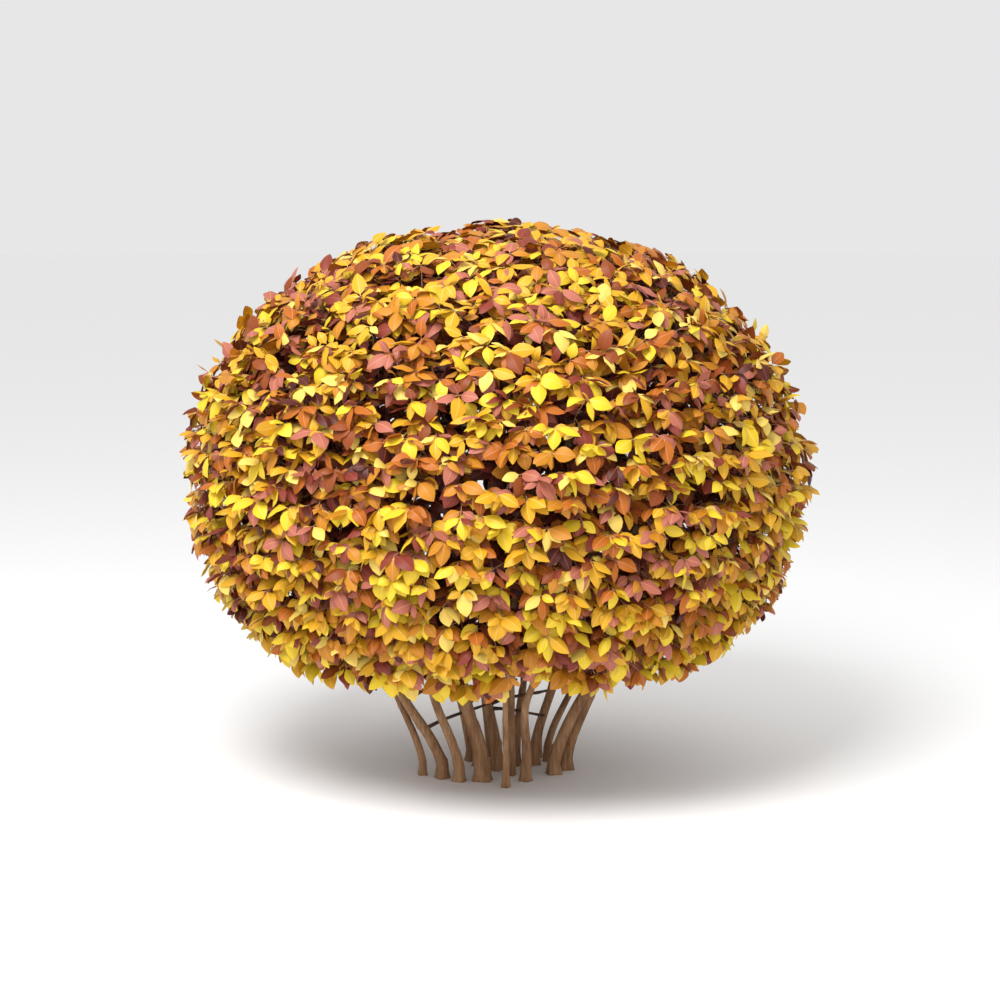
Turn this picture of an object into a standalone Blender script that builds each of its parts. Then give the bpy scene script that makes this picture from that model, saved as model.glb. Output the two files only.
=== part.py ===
"""A many-stemmed broadleaf shrub in autumn leaf, clipped to a flattened ball.

Its frame is in metres with +Z up. The origin is the middle of the main stem's flat cut at the ground.
Seventeen stems rise from one tight clump and lean outwards. Each one ends where it enters a mass of
foliage. The masses are neighbouring sectors of the ball, so each keeps to its own space. Each is a core
with forked twigs that stand out of it, and a whorl of drooping leaves on every twig.
"""

import math
import random

import bmesh
import bpy
from mathutils import Matrix, Vector, noise
from mathutils.bvhtree import BVHTree

# The crown: a ball whose upper and lower halves bulge by their own powers, cut level at the hem
CROWN_WIDTH = 1.50
CROWN_TOP = 1.325
CROWN_MIDDLE = 0.735
CROWN_BOTTOM = 0.165
HEM = 0.232
ROUND_TOP = 2.05
FULL_BOTTOM = 2.3
LUMP = 0.022
LUMP_PITCH = 3.1
OUTLINE_SLACK = 1.015
OPENING_ANGLE = -68.0

# The masses of foliage: how many stand in each ring, the ring's height angle and first bearing, and how
# many twigs a mass has. Their backs keep clear of the stems, and each is fed at its inlet
RINGS = (
    ("top_foliage", 1, 90.0, 0.0, 6),
    ("upper_foliage", 5, 50.0, 0.0, 6),
    ("middle_foliage", 9, 10.0, 0.0, 6),
    ("lower_foliage", 9, -34.0, 20.0, 5),
)
CORE_SHARE = 0.86
CORE_DETAIL = 3
CORE_SET_BACK = 0.030
MASS_STEM_LENGTH = 0.09
SEAM = 0.004
HOLLOW_RADIUS = 0.36
MIDDLE_BACK = 0.42
MIDDLE_INLET = 0.71
FAN_FOOT = 0.240
FAN_SLOPE = 0.33
LOWER_INLET = 0.40

# The stems: where each foot stands, how far the stem has leant at knee height, its radius there, and the
# mass that it feeds
KNEE = 0.22
STEMS = (
    ("main_stem", (0.000, 0.000), (-0.030, 0.000), 0.0135, "top_foliage"),
    ("stem_east", (0.169, 0.004), (0.071, 0.004), 0.0140, "middle_foliage_1"),
    ("stem_east_north", (0.124, 0.088), (0.078, 0.044), 0.0090, "middle_foliage_2"),
    ("stem_north_east", (0.100, 0.126), (0.050, 0.072), 0.0110, "middle_foliage_3"),
    ("stem_north", (-0.014, 0.140), (-0.034, 0.078), 0.0120, "middle_foliage_4"),
    ("stem_north_west", (-0.062, 0.092), (-0.056, 0.042), 0.0120, "middle_foliage_5"),
    ("stem_west", (-0.178, -0.050), (-0.070, -0.010), 0.0088, "middle_foliage_6"),
    ("stem_south_west", (-0.089, -0.112), (-0.062, -0.040), 0.0118, "middle_foliage_7"),
    ("stem_south", (0.022, -0.170), (0.000, -0.058), 0.0078, "middle_foliage_8"),
    ("stem_south_east", (0.069, -0.110), (0.010, -0.044), 0.0110, "middle_foliage_9"),
    ("stem_low_west", (-0.130, -0.080), (-0.100, -0.030), 0.0128, "lower_foliage_6"),
    ("stem_low_east", (0.138, -0.040), (0.082, -0.024), 0.0145, "lower_foliage_9"),
    ("stem_inner_east", (0.092, 0.050), (0.044, 0.000), 0.0118, "upper_foliage_1"),
    ("stem_inner_north", (0.046, 0.046), (0.022, 0.026), 0.0108, "upper_foliage_2"),
    ("stem_inner_west", (-0.044, 0.036), (-0.040, 0.018), 0.0115, "upper_foliage_3"),
    ("stem_front", (-0.034, -0.104), (-0.044, -0.006), 0.0180, "upper_foliage_4"),
    ("stem_inner_south", (0.034, -0.052), (0.002, -0.020), 0.0095, "upper_foliage_5"),
)
COLLAR_HEIGHT = 0.030
FOOT_SHARE = 1.42
COLLAR_SHARE = 1.14
LOW_SHARE = 1.06
TIP_SHARE = 0.50
STEM_STEPS = 4
STEM_SIDES = 8

# The low boughs: the stem that each one leaves, the height where it does, its radius and its mass
BOUGHS = (
    ("bough_east", "stem_east", 0.27, 0.0085, "lower_foliage_1"),
    ("bough_east_north", "stem_east_north", 0.27, 0.0070, "lower_foliage_2"),
    ("bough_north", "stem_north_east", 0.28, 0.0080, "lower_foliage_3"),
    ("bough_north_west", "stem_north", 0.27, 0.0085, "lower_foliage_4"),
    ("bough_west", "stem_west", 0.25, 0.0070, "lower_foliage_5"),
    ("bough_south_west", "stem_south_west", 0.27, 0.0085, "lower_foliage_7"),
    ("bough_south_east", "stem_south_east", 0.26, 0.0075, "lower_foliage_8"),
)

# The thin shoots that cross the clump: the stem that each one leaves, its height there, and its far end
SHOOTS = (
    ("shoot_west_low", "stem_low_west", 0.120, (-0.018, -0.036, 0.172)),
    ("shoot_west_high", "stem_low_west", 0.190, (-0.120, -0.050, 0.236)),
    ("shoot_middle", "main_stem", 0.215, (-0.075, -0.060, 0.175)),
    ("shoot_east_high", "main_stem", 0.160, (0.120, -0.045, 0.205)),
    ("shoot_east_low", "main_stem", 0.150, (0.116, -0.020, 0.138)),
    ("shoot_back", "stem_north_west", 0.130, (0.050, 0.110, 0.200)),
)
BOUGH_TIP_SHARE = 0.75
BOUGH_SAG = 0.15
SHOOT_RADIUS = 0.0040
SHOOT_TIP_SHARE = 0.6
SIDE_LIFT = 0.25
SIDE_LIMB_SIDES = 6
CLEARANCE = 0.0003

# The twigs and the leaves, which are larger than life and fewer, each standing for a spray
WAYS_TRIED = 3000
TWIG_FOOT = 0.80
TWIG_REACH = 0.93
TOP_TWIG_REACH = 0.965
BOTTOM_TWIG_REACH = 0.875
FORK_AT = 0.30
SIDE_MARGIN = 0.026
BACK_MARGIN = 0.055
TWIG_RADIUS = 0.0068
SIDE_TWIG_RADIUS = 0.0058
TWIG_END_RADIUS = 0.0052
LEAVES_A_TWIG = 4
LEAF_PITCH = 0.011
LEAF_LENGTH = 0.148
LONGEST_LEAF = 1.08
SHORTEST_LEAF = 0.90
LEAF_WIDTH = 0.080
LEAF_THICKNESS = 0.0032
LEAF_ARCH = 0.020
TIP_HANG = 0.012
LEAF_FOLD = 0.009
LEAF_WIDEST = 0.42
LEAF_ROOT = 0.001
LEAF_TRIES = 14
TRY_TURN = 0.22
TRY_SHORTENING = 0.035

# A leaf's way is mixed from its twig's way out, a way aside and the pull down, which is stronger on low
# leaves. Its upper side faces up and out.
OUTWARD = 0.42
ASIDE = 0.85
DROOP = 0.45
LOW_DROOP = 0.15
SEED = 11

UP = Vector((0, 0, 1))
MIDDLE = Vector((0, 0, CROWN_MIDDLE))


def compass(bearing, height_angle=0.0):
    """The unit vector at a bearing from +X towards +Y and an angle above level, both in degrees."""
    bearing, height = math.radians(bearing), math.radians(height_angle)
    return Vector(
        (
            math.cos(bearing) * math.cos(height),
            math.sin(bearing) * math.cos(height),
            math.sin(height),
        )
    )


def crown_reach(way):
    """How far the clipped outline lies from the crown's middle, along a unit vector."""
    across = math.hypot(way.x, way.y) / (CROWN_WIDTH / 2)
    if way.z > 0:
        upright, power = way.z / (CROWN_TOP - CROWN_MIDDLE), ROUND_TOP
    else:
        upright, power = -way.z / (CROWN_MIDDLE - CROWN_BOTTOM), FULL_BOTTOM
    lumps = 1 + LUMP * noise.noise(way * LUMP_PITCH)
    return lumps / (across**power + upright**power) ** (1 / power)


def fan_plane(bearing):
    """The slanting plane, in one bearing, that the leaning stems stay behind: a point and its normal."""
    out = compass(bearing)
    return out * FAN_FOOT, (out - UP * FAN_SLOPE).normalized()


def mass_sectors():
    """Each mass's bearing, its way out from the crown's middle, its planes and the point where it is fed.

    The space of a mass is in front of each of its planes, which are points with normals that face it.
    """
    sectors = {}
    for ring, count, height_angle, first, twigs in RINGS:
        for i in range(count):
            name = ring if count == 1 else f"{ring}_{i + 1}"
            bearing = first + 360 * i / count
            way = compass(bearing, height_angle)
            sectors[name] = {"ring": ring, "bearing": bearing, "way": way, "twigs": twigs}
    for name, sector in sectors.items():
        way = sector["way"]
        outward = compass(sector["bearing"])
        if sector["ring"] == "middle_foliage":
            back, facing = outward * MIDDLE_BACK, outward
            inlet = back + UP * MIDDLE_INLET
        elif sector["ring"] == "lower_foliage":
            back, facing = fan_plane(sector["bearing"])
            inlet = back + (outward * FAN_SLOPE + UP) * LOWER_INLET
        else:
            back, facing = MIDDLE + way * HOLLOW_RADIUS, way
            inlet = back
        sector["back"] = (back, facing)
        sector["inlet"] = inlet
        sector["sides"] = []
        for other, neighbour in sectors.items():
            if other != name:
                normal = (way - neighbour["way"]).normalized()
                sector["sides"].append((MIDDLE + normal * SEAM / 2, normal))
    return sectors


def in_sector(sector, place):
    """Whether a point is in the mass's own space."""
    return all((place - point).dot(normal) > 0 for point, normal in [sector["back"], *sector["sides"]])


def in_outline(place):
    """Whether a point is inside the clipped outline, give or take a leaf's tip, and above the hem."""
    out = place - MIDDLE
    return place.z > HEM and out.length < OUTLINE_SLACK * crown_reach(out.normalized())


def curved(start, leaving, end, arriving, steps):
    """Points of a smooth curve between two places, with its way at each end. The start is left out."""
    places = []
    for i in range(1, steps + 1):
        t = i / steps
        places.append(
            start * (2 * t**3 - 3 * t**2 + 1)
            + leaving * (t**3 - 2 * t**2 + t)
            + end * (3 * t**2 - 2 * t**3)
            + arriving * (t**3 - t**2)
        )
    return places


def stem_path(foot, lean, radius, sector):
    """A stem's points and radii, from its flat cut at the ground to the mass that it feeds."""
    ground = Vector((*foot, 0))
    collar = ground + UP * COLLAR_HEIGHT
    knee = Vector((foot[0] + lean[0], foot[1] + lean[1], KNEE))
    inlet = sector["inlet"]
    at_knee = (inlet - collar).normalized()
    into = (sector["way"] + at_knee).normalized()
    lower, upper = (knee - collar).length, (inlet - knee).length
    path = [ground, collar]
    path += curved(collar, (UP + at_knee) * lower / 2, knee, at_knee * lower, STEM_STEPS)
    path += curved(knee, at_knee * upper, inlet, into * upper, STEM_STEPS)
    radii = [radius * FOOT_SHARE, radius * COLLAR_SHARE]
    for i in range(1, 2 * STEM_STEPS + 1):
        radii.append(radius * (LOW_SHARE + (TIP_SHARE - LOW_SHARE) * i / (2 * STEM_STEPS)))
    return path, radii


def at_height(path, radii, height):
    """The place and the radius of a stem at a height."""
    for low, high, thick, thin in zip(path, path[1:], radii, radii[1:], strict=False):
        if low.z <= height <= high.z:
            t = (height - low.z) / (high.z - low.z)
            return low.lerp(high, t), thick + (thin - thick) * t
    return path[-1], radii[-1]


def limb(name, path, radii, sides):
    """A round limb that tapers along its path, closed by a flat cut at each end."""
    curve = bpy.data.curves.new(name, "CURVE")
    curve.dimensions = "3D"
    curve.bevel_depth = 1.0
    curve.bevel_resolution = (sides - 4) // 2
    curve.use_fill_caps = True
    spline = curve.splines.new("POLY")
    spline.points.add(len(path) - 1)
    for point, place, radius in zip(spline.points, path, radii, strict=False):
        point.co = (*place, 1)
        point.radius = radius
    curve.materials.append(BARK)
    obj = bpy.data.objects.new(name, curve)
    PLANT.objects.link(obj)
    return obj


def as_mesh(obj):
    """The curve's surface as a mesh object of the same name, with its end caps welded on."""
    graph = bpy.context.evaluated_depsgraph_get()
    mesh = bpy.data.meshes.new_from_object(obj.evaluated_get(graph))
    name, matrix, curve = obj.name, obj.matrix_world.copy(), obj.data
    bpy.data.objects.remove(obj)
    bpy.data.curves.remove(curve)
    built = bmesh.new()
    built.from_mesh(mesh)
    bmesh.ops.remove_doubles(built, verts=built.verts, dist=1e-6)
    built.to_mesh(mesh)
    built.free()
    solid = bpy.data.objects.new(name, mesh)
    solid.matrix_world = matrix
    PLANT.objects.link(solid)
    return solid


def apply_boolean(obj, operation, other=None, group=None):
    """Cuts or joins an object by another, or by a whole collection, and keeps the resulting mesh."""
    modifier = obj.modifiers.new(operation.title(), "BOOLEAN")
    modifier.operation = operation
    modifier.solver = "EXACT"
    if group is None:
        modifier.object = other
    else:
        modifier.operand_type = "COLLECTION"
        modifier.collection = group
    graph = bpy.context.evaluated_depsgraph_get()
    mesh = bpy.data.meshes.new_from_object(obj.evaluated_get(graph))
    obj.modifiers.clear()
    obj.data = mesh


def cut_clear(obj, path, radii):
    """Cuts a limb back from the stem that it leaves, so that it meets the bark a hair's breadth clear."""
    wider = [radius / math.cos(math.pi / STEM_SIDES) + CLEARANCE for radius in radii]
    cutter = as_mesh(limb("cutter", path, wider, STEM_SIDES))
    apply_boolean(obj, "DIFFERENCE", other=cutter)
    bpy.data.objects.remove(cutter)


def side_limb(name, stem, height, radius, tip_radius, end, arriving, steps):
    """A bough or a shoot that leaves a stem's side and runs to its end. Returns its way at the end."""
    path, radii = stem
    start, _ = at_height(path, radii, height)
    span = (end - start).length
    leaving = ((end - start).normalized() + UP * SIDE_LIFT).normalized()
    route = [start, *curved(start, leaving * span, end, arriving * span, steps)]
    thickness = [radius + (tip_radius - radius) * i / steps for i in range(steps + 1)]
    obj = as_mesh(limb(name, route, thickness, SIDE_LIMB_SIDES))
    cut_clear(obj, path, radii)
    return (route[-1] - route[-2]).normalized()


def sector_core(sector):
    """The dense inside of a mass: its sector of a smaller ball, cut by the planes of its space."""
    built = bmesh.new()
    bmesh.ops.create_icosphere(built, subdivisions=CORE_DETAIL, radius=1.0)
    for vert in built.verts:
        way = vert.co.normalized()
        vert.co = MIDDLE + way * crown_reach(way) * CORE_SHARE
    point, normal = sector["back"]
    for place, facing in [(point + normal * CORE_SET_BACK, normal), *sector["sides"]]:
        cut = bmesh.ops.bisect_plane(
            built,
            geom=[*built.verts, *built.edges, *built.faces],
            dist=1e-6,
            plane_co=place,
            plane_no=facing,
            clear_inner=True,
        )
        rim = [item for item in cut["geom_cut"] if isinstance(item, bmesh.types.BMEdge)]
        if rim:
            bmesh.ops.contextual_create(built, geom=rim)
    bmesh.ops.recalc_face_normals(built, faces=built.faces)
    for face in built.faces:
        face.material_index = WOOD_SLOT
    return built


def piece_object(built, group, name):
    """The bmesh as an object of a collection, wearing the foliage materials."""
    mesh = bpy.data.meshes.new(name)
    built.to_mesh(mesh)
    built.free()
    for material in FOLIAGE:
        mesh.materials.append(material)
    obj = bpy.data.objects.new(name, mesh)
    group.objects.link(obj)
    return obj


def stick(start, end, radius, end_radius, sides):
    """A straight tapering twig between two places."""
    built = bmesh.new()
    way = end - start
    turn = way.to_track_quat("Z", "Y").to_matrix().to_4x4()
    bmesh.ops.create_cone(
        built,
        cap_ends=True,
        segments=sides,
        radius1=radius,
        radius2=end_radius,
        depth=way.length,
        matrix=Matrix.Translation((start + end) / 2) @ turn,
    )
    for face in built.faces:
        face.material_index = WOOD_SLOT
    return built


def leaf_places(root, way, face, length):
    """The six corners of a leaf: its root, tip, two edges, and its midrib's upper and lower side."""
    across = face.cross(way).normalized()
    belly = root + way * length * LEAF_WIDEST + face * LEAF_ARCH
    width = LEAF_WIDTH * length / LEAF_LENGTH
    return {
        (-1, 0, 0): root - way * LEAF_ROOT,
        (1, 0, 0): root + way * length - face * TIP_HANG,
        (0, 1, 0): belly + across * width / 2 - face * LEAF_FOLD,
        (0, -1, 0): belly - across * width / 2 - face * LEAF_FOLD,
        (0, 0, 1): belly + face * LEAF_THICKNESS / 2,
        (0, 0, -1): belly - face * LEAF_THICKNESS / 2,
    }


def leaf(places, slot):
    """A folded, arching leaf of eight faces, shaped from the coarsest ball."""
    built = bmesh.new()
    bmesh.ops.create_uvsphere(built, u_segments=4, v_segments=2, radius=1.0)
    for vert in built.verts:
        vert.co = places[tuple(round(x) for x in vert.co)]
    for face in built.faces:
        face.material_index = slot
    return built


def leaf_way(out, sideways):
    """Which way a leaf grows from a twig that points out: aside, and drooping under its own weight."""
    droop = DROOP + LOW_DROOP * max(0.0, -out.z)
    return (out * OUTWARD + sideways * ASIDE - UP * droop).normalized()


def leaf_face(out, way):
    """The way that a leaf's upper side faces."""
    face = UP + out
    return (face - way * face.dot(way)).normalized()


def even_ways(count):
    """Even ways out over the whole crown, apart from the stems' opening below."""
    golden = math.pi * (3 - math.sqrt(5))
    lowest = math.sin(math.radians(OPENING_ANGLE))
    for i in range(count):
        height = 1 - (1 - lowest) * (i + 0.5) / count
        flat = math.sqrt(1 - height**2)
        yield Vector((flat * math.cos(golden * i), flat * math.sin(golden * i), height))


def twig_ways(sector):
    """The ways of a mass's twigs: its middle one, and then each time the one furthest from the others."""
    planes = [(*sector["back"], BACK_MARGIN)]
    planes += [(*side, SIDE_MARGIN) for side in sector["sides"]]
    fitting = []
    for way in even_ways(WAYS_TRIED):
        foot = MIDDLE + way * crown_reach(way) * TWIG_FOOT
        if all((foot - point).dot(normal) > margin for point, normal, margin in planes):
            fitting.append(way)
    ways = [max(fitting, key=sector["way"].dot)]
    while len(ways) < sector["twigs"]:
        ways.append(min(fitting, key=lambda way: max(way.dot(other) for other in ways)))
    return ways


def pair_up(ways):
    """The ways in twos, each with the nearest that is left. An odd one stays alone."""
    left, pairs = list(ways), []
    while left:
        pair = [left.pop(0)]
        if left:
            pair.append(max(left, key=pair[0].dot))
            left.remove(pair[1])
        pairs.append(pair)
    return pairs


def grow_whorl(sector, twig, obstacles, draw, group):
    """The leaves round a twig's end, each at its own place along it.

    A leaf that would leave its mass's space, or cross the core, another twig or a leaf, is turned and
    shortened a little. After a few tries it is skipped.
    """
    end, back, out, own = twig
    side = out.orthogonal().normalized()
    turn = draw.uniform(0, math.tau)
    for i in range(LEAVES_A_TWIG):
        root = end - back * LEAF_PITCH * (i + 0.1)
        for attempt in range(LEAF_TRIES):
            angle = turn + math.pi * i + math.pi / 2 * (i // 2) + TRY_TURN * attempt * (-1) ** attempt
            sideways = Matrix.Rotation(angle, 3, out) @ side
            way = leaf_way(out, sideways)
            length = LEAF_LENGTH * draw.uniform(SHORTEST_LEAF, LONGEST_LEAF)
            length *= 1 - TRY_SHORTENING * attempt
            places = leaf_places(root, way, leaf_face(out, way), length)
            if not all(in_sector(sector, place) and in_outline(place) for place in places.values()):
                continue
            built = leaf(places, draw.choice(LEAF_SLOTS))
            tree = BVHTree.FromBMesh(built)
            if any(tree.overlap(other) for other in obstacles if other is not own):
                built.free()
                continue
            piece_object(built, group, "leaf")
            obstacles.append(tree)
            break


def grow_fork(pair, group):
    """A twig that leaves the core and its side twig. Each is told by its end, its ways and its surface."""
    ends = []
    for way in pair:
        polar = TOP_TWIG_REACH if way.z > 0 else BOTTOM_TWIG_REACH
        share = TWIG_REACH + (polar - TWIG_REACH) * abs(way.z)
        ends.append(MIDDLE + way * crown_reach(way) * share)
    between = sum(pair, Vector()).normalized()
    foot = MIDDLE + between * crown_reach(between) * TWIG_FOOT
    routes = [(foot, ends[0], TWIG_RADIUS)]
    if len(pair) > 1:
        routes.append((foot.lerp(ends[0], FORK_AT), ends[1], SIDE_TWIG_RADIUS))
    twigs = []
    for way, (start, end, radius) in zip(pair, routes, strict=True):
        built = stick(start, end, radius, TWIG_END_RADIUS, 3)
        twigs.append((end, (end - start).normalized(), way, BVHTree.FromBMesh(built)))
        piece_object(built, group, "twig")
    return twigs


def keep_main_body(obj):
    """Drops loose scraps and fills sealed hollows: only the largest connected surface is kept."""
    built = bmesh.new()
    built.from_mesh(obj.data)
    left, bodies = set(built.verts), []
    while left:
        body, edge = set(), [left.pop()]
        while edge:
            vert = edge.pop()
            body.add(vert)
            near = {link.other_vert(vert) for link in vert.link_edges} & left
            left -= near
            edge.extend(near)
        bodies.append(body)
    bodies.sort(key=len)
    for body in bodies[:-1]:
        bmesh.ops.delete(built, geom=list(body), context="VERTS")
    built.to_mesh(obj.data)
    built.free()


def grow_mass(name, sector, arrival, tip_radius, draw):
    """One mass of foliage: its stem, core, twigs and leaves, joined into one body."""
    group = bpy.data.collections.new(name + "_pieces")
    bpy.context.scene.collection.children.link(group)
    built = sector_core(sector)
    obstacles = [BVHTree.FromBMesh(built)]
    core = piece_object(built, PLANT, name)
    start = sector["inlet"] + arrival * CLEARANCE
    inside = start + arrival * MASS_STEM_LENGTH
    piece_object(stick(start, inside, tip_radius, TWIG_RADIUS, SIDE_LIMB_SIDES), group, "stem")
    twigs = [twig for pair in pair_up(twig_ways(sector)) for twig in grow_fork(pair, group)]
    obstacles += [twig[-1] for twig in twigs]
    for twig in twigs:
        grow_whorl(sector, twig, obstacles, draw, group)
    apply_boolean(core, "UNION", group=group)
    keep_main_body(core)
    for obj in list(group.objects):
        bpy.data.objects.remove(obj)
    bpy.data.collections.remove(group)


def grow_stems(sectors):
    """The stems, and for each mass that one feeds, its way and its radius there."""
    stems, feeds = {}, {}
    for name, foot, lean, radius, mass in STEMS:
        path, radii = stem_path(foot, lean, radius, sectors[mass])
        limb(name, path, radii, STEM_SIDES)
        stems[name] = (path, radii)
        feeds[mass] = ((path[-1] - path[-2]).normalized(), radii[-1])
    return stems, feeds


def grow_side_limbs(sectors, stems, feeds):
    """The low boughs and the thin shoots that leave the stems."""
    for name, stem, height, radius, mass in BOUGHS:
        sector = sectors[mass]
        tip = radius * BOUGH_TIP_SHARE
        outward = (compass(sector["bearing"]) - UP * BOUGH_SAG).normalized()
        way = side_limb(name, stems[stem], height, radius, tip, sector["inlet"], outward, 4)
        feeds[mass] = (way, tip)
    for name, stem, height, end in SHOOTS:
        place = Vector(end)
        start, _ = at_height(*stems[stem], height)
        ahead = (place - start).normalized()
        tip = SHOOT_RADIUS * SHOOT_TIP_SHARE
        side_limb(name, stems[stem], height, SHOOT_RADIUS, tip, place, ahead, 3)


def plain_material(name, colour, roughness):
    """A matt material of one colour, given as linear red, green and blue."""
    material = bpy.data.materials.new(name)
    material.use_nodes = True
    shader = material.node_tree.nodes["Principled BSDF"]
    shader.inputs["Base Color"].default_value = (*colour, 1)
    shader.inputs["Roughness"].default_value = roughness
    shader.inputs["Metallic"].default_value = 0
    material.diffuse_color = (*colour, 1)
    return material


for leftover in list(bpy.data.objects):
    bpy.data.objects.remove(leftover)
PLANT = bpy.data.collections.new("autumn_ball_shrub")
bpy.context.scene.collection.children.link(PLANT)

BARK = plain_material("bark", (0.235, 0.130, 0.068), 0.85)
FOLIAGE = (
    plain_material("twig", (0.110, 0.040, 0.018), 0.80),
    plain_material("yellow_leaf", (0.760, 0.480, 0.040), 0.50),
    plain_material("gold_leaf", (0.640, 0.300, 0.030), 0.50),
    plain_material("amber_leaf", (0.450, 0.150, 0.020), 0.50),
    plain_material("rose_leaf", (0.480, 0.130, 0.110), 0.55),
)
WOOD_SLOT = 0
LEAF_SLOTS = (1, 1, 1, 2, 2, 3, 4)


def main():
    """Grows the limbs, then one mass of foliage after another."""
    sectors = mass_sectors()
    stems, feeds = grow_stems(sectors)
    grow_side_limbs(sectors, stems, feeds)
    draw = random.Random(SEED)
    for name, sector in sectors.items():
        arrival, tip_radius = feeds[name]
        grow_mass(name, sector, arrival, tip_radius, draw)


main()
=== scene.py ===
"""The looks of a many-stemmed broadleaf shrub in autumn leaf, clipped to a flattened ball.

The stems, the low boughs and the thin shoots wear their bark with its relief. Every mass of foliage becomes
forked twigs with whorls of leaves, which grow on from the limbs and keep to the same space.
Metres, +Z up. The origin is the middle of the main stem's flat cut at the ground.
"""

import math
import random

import bmesh
import bpy
import numpy as np
from mathutils import Matrix, Vector, noise


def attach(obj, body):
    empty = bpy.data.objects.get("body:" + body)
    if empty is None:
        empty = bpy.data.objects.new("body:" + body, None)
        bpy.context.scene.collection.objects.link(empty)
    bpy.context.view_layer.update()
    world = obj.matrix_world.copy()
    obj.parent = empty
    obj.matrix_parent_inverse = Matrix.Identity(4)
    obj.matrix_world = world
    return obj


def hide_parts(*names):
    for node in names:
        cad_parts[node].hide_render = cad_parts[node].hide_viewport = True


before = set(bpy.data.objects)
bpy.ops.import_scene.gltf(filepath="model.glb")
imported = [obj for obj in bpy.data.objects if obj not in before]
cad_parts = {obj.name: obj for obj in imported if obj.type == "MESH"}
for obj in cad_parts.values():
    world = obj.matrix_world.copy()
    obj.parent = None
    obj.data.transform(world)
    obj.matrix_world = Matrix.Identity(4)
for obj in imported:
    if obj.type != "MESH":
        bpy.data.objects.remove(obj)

UP = Vector((0, 0, 1))
SEED = 11

# The camera, at the photo's viewing angle: a little above level, and far off
AIM = Vector((0.008, 0.0, 0.660))
CAMERA_BEARING = -90.0
CAMERA_HEIGHT_ANGLE = 8.0
CAMERA_DISTANCE = 6.0
FOCAL_LENGTH = 90.4
SENSOR_WIDTH = 36.0

# The studio. Each light: its bearing and height angle seen from the crown's middle, distance, side and power
FLOOR_SIZE = 60.0
FLOOR_SIDES = 64
FLOOR_COLOUR = (0.985, 0.985, 0.985)
FLOOR_ROUGHNESS = 0.9
FLOOR_SHINE = 0.2
SKY_COLOUR = (1.0, 1.0, 1.0)
SKY_STRENGTH = 0.80
LIGHTS = (
    ("key_light", -112.0, 46.0, 4.5, 2.0, 200.0),
    ("front_light", -84.0, 6.0, 5.6, 2.0, 30.0),
)

# The crown: a ball with slight lumps, whose upper and lower halves bulge by their own powers. It is cut level
# at the hem, and below the opening angle there are only stems
CROWN_WIDTH = 1.50
CROWN_TOP = 1.325
CROWN_MIDDLE = 0.735
CROWN_BOTTOM = 0.165
HEM = 0.232
ROUND_TOP = 2.05
FULL_BOTTOM = 2.3
LUMP = 0.022
LUMP_PITCH = 3.1
OPENING_ANGLE = -68.0
MIDDLE = Vector((0, 0, CROWN_MIDDLE))

# The masses of foliage: how many stand in each ring, the ring's height angle and its first bearing
RINGS = (
    ("top_foliage", 1, 90.0, 0.0),
    ("upper_foliage", 5, 50.0, 0.0),
    ("middle_foliage", 9, 10.0, 0.0),
    ("lower_foliage", 9, -34.0, 20.0),
)

# The parts of the crown whose leaves and twigs are joined, by their masses
PARTS = (
    ("crown_top", ("top_foliage", *[f"upper_foliage_{i}" for i in range(1, 6)])),
    ("crown_back", tuple(f"middle_foliage_{i}" for i in range(1, 6))),
    ("crown_front", tuple(f"middle_foliage_{i}" for i in range(6, 10))),
    ("hem_back", tuple(f"lower_foliage_{i}" for i in range(1, 5))),
    ("hem_front", tuple(f"lower_foliage_{i}" for i in range(5, 10))),
)

# Where the masses are fed: the top ones at the edge of the crown's hollow, the middle ones at one height and
# the lower ones on a fan that widens from the ground
HOLLOW_RADIUS = 0.36
MIDDLE_BACK = 0.42
MIDDLE_INLET = 0.71
FAN_FOOT = 0.240
FAN_SLOPE = 0.33
LOWER_INLET = 0.40

# The stems: where each foot stands, how far the stem has leant at knee height, its radius there, and the
# mass that it feeds
KNEE = 0.22
STEMS = (
    ("main_stem", (0.000, 0.000), (-0.030, 0.000), 0.0135, "top_foliage"),
    ("stem_east", (0.169, 0.004), (0.071, 0.004), 0.0140, "middle_foliage_1"),
    ("stem_east_north", (0.124, 0.088), (0.078, 0.044), 0.0090, "middle_foliage_2"),
    ("stem_north_east", (0.100, 0.126), (0.050, 0.072), 0.0110, "middle_foliage_3"),
    ("stem_north", (-0.014, 0.140), (-0.034, 0.078), 0.0120, "middle_foliage_4"),
    ("stem_north_west", (-0.062, 0.092), (-0.056, 0.042), 0.0120, "middle_foliage_5"),
    ("stem_west", (-0.178, -0.050), (-0.070, -0.010), 0.0088, "middle_foliage_6"),
    ("stem_south_west", (-0.089, -0.112), (-0.062, -0.040), 0.0118, "middle_foliage_7"),
    ("stem_south", (0.022, -0.170), (0.000, -0.058), 0.0078, "middle_foliage_8"),
    ("stem_south_east", (0.069, -0.110), (0.010, -0.044), 0.0110, "middle_foliage_9"),
    ("stem_low_west", (-0.130, -0.080), (-0.100, -0.030), 0.0128, "lower_foliage_6"),
    ("stem_low_east", (0.138, -0.040), (0.082, -0.024), 0.0145, "lower_foliage_9"),
    ("stem_inner_east", (0.092, 0.050), (0.044, 0.000), 0.0118, "upper_foliage_1"),
    ("stem_inner_north", (0.046, 0.046), (0.022, 0.026), 0.0108, "upper_foliage_2"),
    ("stem_inner_west", (-0.044, 0.036), (-0.040, 0.018), 0.0115, "upper_foliage_3"),
    ("stem_front", (-0.034, -0.104), (-0.044, -0.006), 0.0180, "upper_foliage_4"),
    ("stem_inner_south", (0.034, -0.052), (0.002, -0.020), 0.0095, "upper_foliage_5"),
)

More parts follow.
